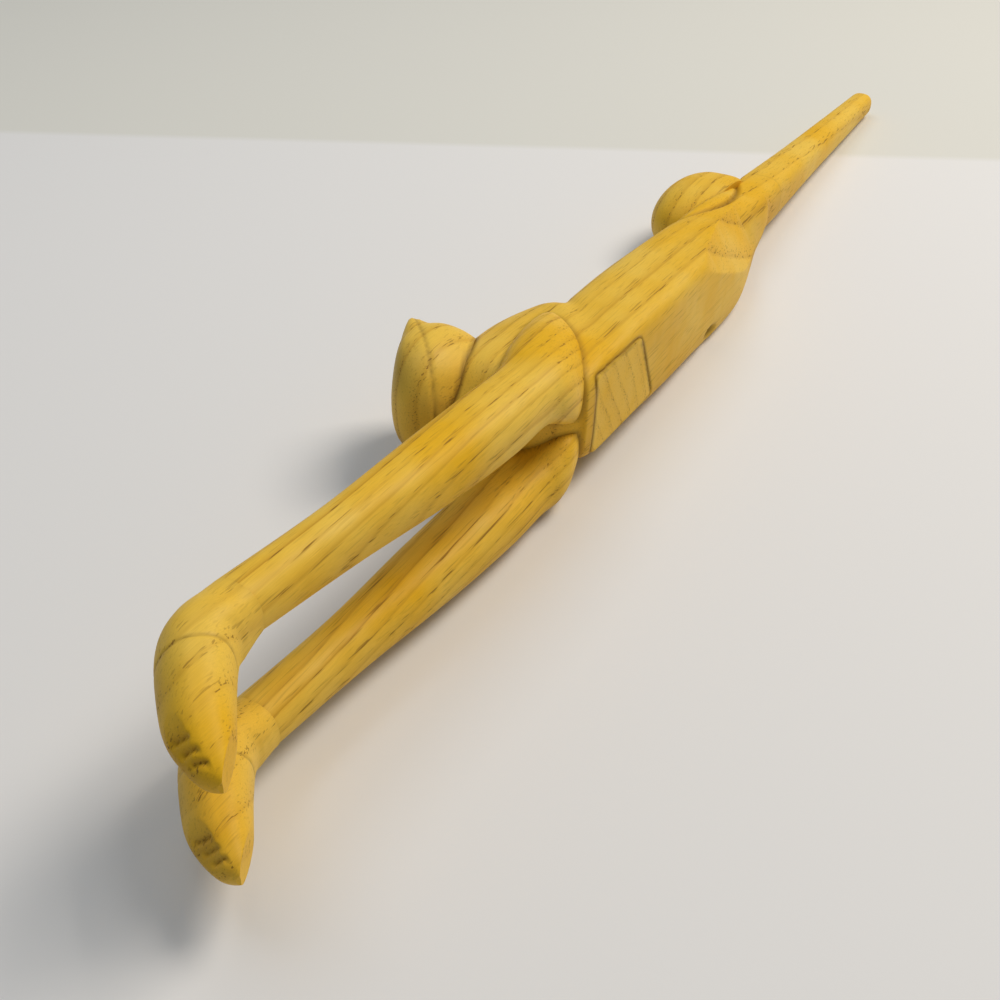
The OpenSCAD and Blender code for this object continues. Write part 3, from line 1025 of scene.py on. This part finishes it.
@dataclass
class Paw(Carving):
    """A bent paw with a keeled back and nicked toes: the scratching hook."""

    points_round: int = 132
    spacing: float = 0.45
    keel: float = 38.0
    slits: tuple[tuple[Triple, Triple], ...] = (
        ((17.4, 8.4, 2.6), (18.6, 5.8, 4.4)),
        ((20.4, 6.8, 2.2), (21.3, 4.4, 3.6)),
        ((23.0, 5.2, 1.8), (23.7, 3.2, 2.6)),
    )

    def paw_point(self, bend: float, beyond: float) -> np.ndarray:
        """Point on the paw's path.

        Args:
            bend: How far it has bent, in degrees.
            beyond: Distance past the bend.

        Returns:
            The point.
        """
        z = self.sizes
        b = math.radians(bend)
        return np.array([
            -z.foreleg_len - z.bend_r * math.sin(b) - beyond * math.cos(b),
            z.wrist_rise - z.bend_r * (1 - math.cos(b)) - beyond * math.sin(b),
            z.wrist_spread + z.paw_splay * (bend / z.paw_bend + beyond / z.paw_len) / 2,
        ])

    def paw_row(
        self, bend: float, beyond: float, half_depth: float, half_w: float, ridge: float, full: float
    ) -> list[float]:
        """One row of the paw; the knuckle side stands out by its fullness.

        Args:
            bend: How far it has bent, in degrees.
            beyond: Distance past the bend.
            half_depth: Half depth without the fullness.
            half_w: Half width.
            ridge: Squareness of the knuckle side.
            full: Fullness.

        Returns:
            The row.
        """
        p = self.paw_point(bend, beyond)
        b = math.radians(bend)
        x, y = p[0] - full / 2 * math.sin(b), p[1] + full / 2 * math.cos(b)
        return [x, y, p[2], bend, half_depth + full / 2, half_w, ridge, 2.5]

    def rows(self) -> np.ndarray:
        """Dense rows from the toes to the wrist seam.

        Returns:
            The rows.
        """
        z = self.sizes
        b, n, r, w, k = z.paw_bend, z.paw_len, z.wrist_r, z.paw_w, z.knuckle
        drawn = [
            self.paw_row(b, n, r * 0.12, w * 0.09, 2.0, k * 0.2),
            self.paw_row(b, n * 0.9, r * 0.2, w * 0.22, 1.8, k * 0.7),
            self.paw_row(b, n * 0.6, r * 0.34, w * 0.4, 1.7, k * 1.15),
            self.paw_row(b, n * 0.2, r * 0.52, w * 0.51, 1.75, k * 1.15),
            self.paw_row(b * 0.8, 0, r * 0.72, w * 0.52, 1.9, k * 0.9),
            self.paw_row(b * 0.5, 0, r * 0.9, w * 0.49, 2.1, k * 0.5),
            self.paw_row(b * 0.2, 0, r, r * 1.06, 2.2, k * 0.1),
            self.paw_row(0, 0, r, r, 2.2, 0),
        ]
        return smooth_rows(drawn, self.spacing)

    def tools(self) -> list[Tool]:
        """Keel and palm facets, claw slits, painted shade on the knuckle side and the wrist line; the slits
        and the line are darkened with painted shade too.

        Returns:
            The tools.
        """
        z = self.sizes
        b = math.radians(z.paw_bend)
        along = np.array([-math.cos(b), -math.sin(b), 0.0])
        out = np.array([-math.sin(b), math.cos(b), 0.0])
        cuts: list[Tool] = []
        middle = self.paw_point(z.paw_bend, z.paw_len * 0.6)
        crown = middle + out * (z.wrist_r * 0.34 + z.knuckle * 1.15 + 0.9)
        lean = math.radians(self.keel)
        for aside in (-1, 1):
            face = out * math.cos(lean) + along * 0.38 + np.array([0, 0, aside * math.sin(lean)])
            cuts.append(Flat(tuple(crown), tuple(face)))
        palm = middle - out * z.wrist_r * 0.35
        cuts.append(Flat(tuple(palm), tuple(along * 0.31 - out * 0.95)))
        # Claw slits, darkened with painted shade.
        for aside in (-1, 1):
            level = np.array([0, 0, float(aside)])
            for slit in self.slits:
                ends = [self.paw_point(z.paw_bend, s) + out * h + level * v for s, h, v in slit]
                cuts.append(Slit(*ends, level, 0.75, depth=0.7, painted_shade_and_dark_wood=0.5))
        # Painted shade on the knuckle side, which faces away from the warm lamp.
        for deep, high in ((0.2, 1.15), (0.75, 0.85)):
            shaded_knuckle = self.paw_point(z.paw_bend, z.paw_len * deep) + out * (2 + z.knuckle * high)
            cuts.append(Hollow(tuple(shaded_knuckle), (8.5, 8.5, 6.0), depth=0.1, painted_shade_and_dark_wood=0.28))
        # Wrist line, darkened with painted shade.
        line = self.paw_point(z.paw_bend, z.paw_len * 0.04)
        cuts.append(Groove(tuple(line), (along[0], along[1], 0.12), 0.6, depth=0.25, painted_shade_and_dark_wood=0.5))
        return cuts


@dataclass
class Head(Carving):
    """Round cat's head with two pointed ears."""

    points_round: int = 96
    spacing: float = 0.9
    ear_angle: float = 52.0
    ear_wide: float = 28.0
    ear_at: float = 0.93
    ear_deep: float = 0.3

    def head_row(self, share: float, chin: float, crown: float, half_w: float, square: float) -> list[float]:
        """One row of the head.

        Args:
            share: 0 at the neck seam, 1 at the face.
            chin: Reach to the chin.
            crown: Reach to the crown.
            half_w: Half width.
            square: Squareness.

        Returns:
            The row.
        """
        z = self.sizes
        c = z.neck_seat + z.neck_axis * z.head_deep * share + z.neck_chin * (chin - crown) / 2
        return [c[0], c[1], 0, 180 - z.neck_angle, (chin + crown) / 2, half_w, square, square]

    def rows(self) -> np.ndarray:
        """Dense rows from the neck seam to the face.

        Returns:
            The rows.
        """
        h, w = self.sizes.head_h, self.sizes.head_w
        drawn = [
            self.head_row(0, h * 0.36, h * 0.4, w * 0.36, 2.2),
            self.head_row(0.2, h * 0.46, h * 0.44, w * 0.44, 2.2),
            self.head_row(0.45, h * 0.54, h * 0.45, w * 0.49, 2.3),
            self.head_row(0.7, h * 0.54, h * 0.43, w * 0.48, 2.3),
            self.head_row(0.88, h * 0.46, h * 0.39, w * 0.43, 2.3),
            self.head_row(0.97, h * 0.33, h * 0.3, w * 0.32, 2.2),
            self.head_row(1, h * 0.15, h * 0.14, w * 0.14, 2),
        ]
        return smooth_rows(drawn, self.spacing)

    def shape(self, points: np.ndarray, row: np.ndarray) -> np.ndarray:
        """Raises the two ears from the crown's edge.

        Args:
            points: The ring's points.
            row: The ring's row.

        Returns:
            The shaped points.
        """
        z = self.sizes
        share = (row[:3] - z.neck_seat) @ z.neck_axis / z.head_deep
        off = points - row[:3]
        angle = np.degrees(np.arctan2(np.abs(off[:, 2]) / row[5], -(off @ z.neck_chin) / row[4]))
        around = np.clip(1 - np.abs(angle - self.ear_angle) / self.ear_wide, 0, 1) ** 1.2
        along = max(0.0, 1 - abs(share - self.ear_at) / self.ear_deep) ** 1.2
        out = off / np.maximum(np.linalg.norm(off, axis=1), 1e-6)[:, None]
        return points + out * (z.ear_len * around * along)[:, None]

    def face_point(self, deep: float, chin: float, aside: float) -> Triple:
        """Point in the head.

        Args:
            deep: Share of the way from the neck seam to the face.
            chin: Share of the head's height towards the chin.
            aside: Share of the head's width to the left.

        Returns:
            The point.
        """
        z = self.sizes
        p = z.neck_seat + z.neck_axis * z.head_deep * deep + z.neck_chin * z.head_h * chin
        return (p[0], p[1], z.head_w * aside)

    def tools(self) -> list[Tool]:
        """Cheek creases, eyes, ear hollows, dark lower face and nose, darkened with painted shade; the lower
        face is partly darker wood as well.

        Returns:
            The tools.
        """
        z = self.sizes
        cheek = tuple(z.neck_axis + z.neck_chin * 0.35)
        cuts: list[Tool] = []
        for side in Side:
            near = sorted((0.0, 99.0 * side.value))
            beside = Zone((-99, -99, near[0]), (99, 99, near[1]), 3.0)
            eye = self.face_point(0.93, -0.06, 0.27 * side.value)
            ear = self.face_point(0.99, -0.33, 0.3 * side.value)
            jaw = self.face_point(0.85, 0.3, 0.3 * side.value)
            cuts.append(Groove(self.face_point(0.66, 0, 0), cheek, 0.8, beside, depth=0.35, painted_shade_and_dark_wood=0.55))
            cuts.append(Hollow(eye, (2.6, 2.6, 2.6), depth=0.9, painted_shade_and_dark_wood=1.0))
            cuts.append(Hollow(ear, (3.2, 3.2, 2.4), depth=1.2, painted_shade_and_dark_wood=0.9))
            # Lower face: painted shade, partly over darker wood.
            cuts.append(Hollow(jaw, (11.0, 11.0, 9.0), depth=0.2, painted_shade_and_dark_wood=0.4))
        cuts.append(Hollow(self.face_point(1.0, 0.1, 0), (1.6, 1.6, 2.2), depth=0.6, painted_shade_and_dark_wood=0.9))
        return cuts


@dataclass
class Rump(Carving):
    """The round knob at the root of the tail."""

    points_round: int = 84
    spacing: float = 0.9

    def rows(self) -> np.ndarray:
        """Dense rows from its seat to its top.

        Returns:
            The rows.
        """
        z = self.sizes
        shares = [
            (-0.1, 0.92, 0.9, 2.3),
            (0.03, 0.97, 0.96, 2.3),
            (0.25, 1, 0.98, 2.2),
            (0.5, 0.98, 0.97, 2.1),
            (0.75, 0.83, 0.8, 2.1),
            (0.92, 0.54, 0.52, 2.0),
            (1, 0.18, 0.18, 2.0),
        ]
        half_len, half_w = z.rump_len / 2, z.rump_w / 2
        drawn = []
        for up, long, wide, square in shares:
            y = z.rump_y + z.rump_h * up
            drawn.append([z.rump_x, y, 0, 90, half_len * long, half_w * wide, square, square])
        return smooth_rows(drawn, self.spacing)


@dataclass
class TailHandle(Carving):
    """The tail that is held: a tapering rounded square with a round tip."""

    points_round: int = 64
    spacing: float = 2.0

    def rows(self) -> np.ndarray:
        """Dense rows from the seam to the tip.

        Returns:
            The rows.
        """
        z = self.sizes
        tip, cap = z.tail_tip / 2, z.tail_tip * 0.45
        step = z.tail_half - tip
        shares = [
            (0, z.tail_half, 3),
            (0.3, z.tail_half - step * 0.42, 3),
            (0.65, z.tail_half - step * 0.74, 2.8),
            (1, tip, 2.5),
        ]
        drawn = []
        for share, half, square in shares:
            x = z.torso_len + (z.tail_len - cap) * share
            drawn.append([x, z.tail_y, 0, 0, half, half, square, square])
        return np.vstack([smooth_rows(drawn, self.spacing), closed_end(drawn[-1], cap)])


@dataclass
class BellyPanel(Carving):
    """The flat let-in panel behind the shoulders."""

    points_round: int = 96
    spacing: float = 0.5

    def rows(self) -> np.ndarray:
        """Dense rows from the glued face to the outer face.

        Returns:
            The rows.
        """
        z = self.sizes
        x = z.panel_x + z.panel_len / 2
        y = z.belly_y + z.back_rise * z.panel_x / z.torso_len
        drawn = []
        face = ((0.0, 0.7), (-0.03, 2.2), (-0.08, 6.0), (-0.12, 10.0))
        for deep, inset in ((z.panel_t, 0.1), (0.5, 0.1), (0.15, 0.25), *face):
            drawn.append([x, y + deep, 0, 90, z.panel_len / 2 - inset, z.panel_w / 2 - inset, 14, 14])
        return smooth_rows(drawn, self.spacing)

    def shape(self, points: np.ndarray, row: np.ndarray) -> np.ndarray:
        """Slants the rear edge and lays the panel along the belly.

        Args:
            points: The ring's points.
            row: The ring's row.

        Returns:
            The shaped points.
        """
        z = self.sizes
        back = (points[:, 0] - z.panel_x) / z.panel_len
        points[:, 0] += back * z.panel_slant * (0.5 - points[:, 2] / z.panel_w)
        points[:, 1] += z.back_rise * (points[:, 0] - z.panel_x) / z.torso_len
        return points


@dataclass
class Viewpoint:
    """The camera: where it stands and how it looks."""

    place: Triple = (-0.3122, -0.1267, 0.1895)
    heading: float = 30.22
    pitch: float = 38.73
    lens: float = 39.6
    sensor: float = 36.0

    def build(self) -> bpy.types.Object:
        """Makes the camera.

        Returns:
            The camera object.
        """
        data = bpy.data.cameras.new("camera")
        data.lens, data.sensor_width = self.lens, self.sensor
        data.clip_start, data.clip_end = 0.01, 20.0
        cam = bpy.data.objects.new("camera", data)
        h, p = math.radians(self.heading), math.radians(self.pitch)
        look = Vector((math.cos(h) * math.cos(p), math.sin(h) * math.cos(p), -math.sin(p)))
        cam.location = self.place
        cam.rotation_euler = look.to_track_quat("-Z", "Y").to_euler()
        bpy.context.scene.collection.objects.link(cam)
        bpy.context.scene.camera = cam
        return cam


@dataclass
class Studio:
    """White table, two soft lamps and a pale surround."""

    table: Triple = (0.77, 0.77, 0.77)
    beyond: Triple = (0.70, 0.70, 0.655)
    half: float = 3.0
    warm: Triple = (1.0, 0.91, 0.80)
    cool: Triple = (0.84, 0.91, 1.0)
    edge_at: Triple = (0.1142, 0.1287, 0.0)
    edge_turn: float = 25.94

    def floor(self) -> bpy.types.Object:
        """Makes the table top.

        Returns:
            The table object.
        """
        bm = bmesh.new()
        bmesh.ops.create_grid(bm, x_segments=1, y_segments=1, size=self.half)
        mesh = bpy.data.meshes.new("table")
        bm.to_mesh(mesh)
        bm.free()
        mat = bpy.data.materials.new("white_table")
        mat.use_nodes = True
        g = Graph(mat.node_tree)
        coords = g.add("ShaderNodeTexCoord")
        turn = (0.0, 0.0, math.radians(self.edge_turn))
        inputs = {"Vector": coords.outputs["Object"], "Location": self.edge_at, "Rotation": turn}
        laid = g.add("ShaderNodeMapping", inputs, vector_type="TEXTURE")
        past = g.add("ShaderNodeSeparateXYZ", {0: laid.outputs[0]})
        step = g.ramp(g.math("MULTIPLY_ADD", past.outputs["X"], 10.0, 0.5), [(0.47, 0.0), (0.53, 1.0)])
        tone = g.mix(step, (*self.table, 1), (*self.beyond, 1))
        inputs = {"Base Color": tone, "Roughness": 0.6, "Specular IOR Level": 0.2}
        shader = g.add("ShaderNodeBsdfPrincipled", inputs)
        g.add("ShaderNodeOutputMaterial", {"Surface": shader.outputs[0]})
        mesh.materials.append(mat)
        obj = bpy.data.objects.new("table", mesh)
        bpy.context.scene.collection.objects.link(obj)
        return obj

    def lamp(self, name: str, place: tuple, size: float, power: float, colour: tuple) -> bpy.types.Object:
        """Makes one soft lamp that points at the middle of the object.

        Args:
            name: Name of the lamp.
            place: Where it stands.
            size: Edge of its square face.
            power: Its power.
            colour: Its colour.

        Returns:
            The lamp object.
        """
        data = bpy.data.lights.new(name, "AREA")
        data.size, data.energy, data.color = size, power, colour
        obj = bpy.data.objects.new(name, data)
        obj.location = place
        obj.rotation_euler = (Vector((-0.05, 0, 0)) - Vector(place)).to_track_quat("-Z", "Y").to_euler()
        bpy.context.scene.collection.objects.link(obj)
        return obj

    def build(self) -> None:
        """Makes the table, lamps and surround."""
        self.floor()
        self.lamp("warm_lamp", (0.66, -0.5, 1.2), 0.7, 16.6, self.warm)
        self.lamp("cool_window", (0.0, 0.5, 1.35), 0.8, 4.2, self.cool)
        world = bpy.data.worlds.new("surround")
        world.use_nodes = True
        g = Graph(world.node_tree)
        sky = g.add("ShaderNodeBackground", {"Color": (0.9, 0.96, 1.0, 1), "Strength": 0.22})
        g.add("ShaderNodeOutputWorld", {"Surface": sky.outputs[0]})
        bpy.context.scene.world = world
        view = bpy.context.scene.view_settings
        view.view_transform = "Standard"


@dataclass(frozen=True)
class Seam:
    """A glued seam between two pieces, and how dark the painted shade along it is."""

    first: str
    second: str
    dark: float
    reach: float = 1.5

    def darken(self, piece: bpy.types.Object, other: bpy.types.Object) -> None:
        """Paints shade on a piece close to the other one.

        Args:
            piece: The piece that gets darker.
            other: The piece on the far side of the seam.
        """
        mesh = other.data
        tree = BVHTree.FromPolygons([v.co for v in mesh.vertices], [p.vertices[:] for p in mesh.polygons])
        layer = piece.data.attributes["painted_shade_and_dark_wood"].data
        for vert in piece.data.vertices:
            off = tree.find_nearest(vert.co, self.reach * MM)[3]
            if off is not None:
                spot = layer[vert.index]
                spot.value = max(spot.value, self.dark * (1 - off / (self.reach * MM)))


@dataclass
class BackScratcher:
    """The whole carving, piece by piece."""

    sizes: Sizes = field(default_factory=Sizes)
    seams: tuple[Seam, ...] = (
        Seam("torso", "head", 0.85),
        Seam("torso", "belly_panel", 0.8, 1.0),
        Seam("torso", "rump", 0.2, 0.8),
        Seam("torso", "left_foreleg", 0.5),
        Seam("torso", "right_foreleg", 0.6),
        Seam("left_foreleg", "left_paw", 0.08, 0.8),
        Seam("right_foreleg", "right_paw", 0.08, 0.8),
        Seam("torso", "tail_handle", 0.15, 0.8),
    )

    def lay(self) -> Lay:
        """Finds how the carving lies from the shoulder dowel's middle.

        Returns:
            The lay.
        """
        low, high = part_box("shoulder_dowel")
        return Lay((low + high) / 2, self.sizes.tilt)

    def build(self) -> None:
        """Builds and finishes every piece."""
        groups = {"growth_rings": growth_rings(), "wood_pores": wood_pores(), "hand_marks": hand_marks()}
        finishes = [
            WoodFinish("trunk_wood", spacing=6.5, ring=0.42, pith=(0.0, -75.0, -22.0)),
            WoodFinish("leg_wood", spacing=3.2, ring=0.6, pith=(0.0, -45.0, -75.0)),
            WoodFinish("paw_wood", spacing=6.5, ring=0.25, pith=(0.0, -45.0, -75.0)),
            WoodFinish("panel_wood", spacing=5.0, ring=0.3, pith=(0.0, 190.0, 40.0), lean=(0.0, 2.0, 84.0)),
            WoodFinish("dowel_wood", pale=(0.70, 0.54, 0.32), gold=(0.62, 0.46, 0.26)),
        ]
        trunk, leg, paw, panel, dowel = (finish.material(groups) for finish in finishes)
        given = (self.sizes, self.lay())
        pieces = {
            "torso": Torso("torso_carving", *given, trunk),
            "belly_panel": BellyPanel("belly_panel_inlay", *given, panel),
            "head": Head("cat_head", *given, trunk),
            "rump": Rump("rump_knob", *given, trunk),
            "tail_handle": TailHandle("tail_grip", *given, trunk),
        }
        for side in Side:
            word = side.name.lower()
            pieces[f"{word}_foreleg"] = Foreleg(f"{word}_foreleg_carving", *given, leg, side=side)
            pieces[f"{word}_paw"] = Paw(f"{word}_paw_hook", *given, paw, side=side)
        made = {node: piece.build(node) for node, piece in pieces.items()}
        # Painted shade along every seam where two pieces meet.
        for seam in self.seams:
            seam.darken(made[seam.first], made[seam.second])
            seam.darken(made[seam.second], made[seam.first])
        for name in ("shoulder_dowel", "neck_dowel", "left_wrist_dowel", "right_wrist_dowel", "rump_dowel"):
            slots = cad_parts[name].data.materials
            slots.clear()
            slots.append(dowel)


def main() -> None:
    """Builds the object, its stage and the camera."""
    logging.basicConfig(level=logging.INFO, format="%(message)s")
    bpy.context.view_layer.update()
    BackScratcher().build()
    Studio().build()
    Viewpoint().build()
    bpy.context.view_layer.update()


if __name__ == "__main__":
    main()
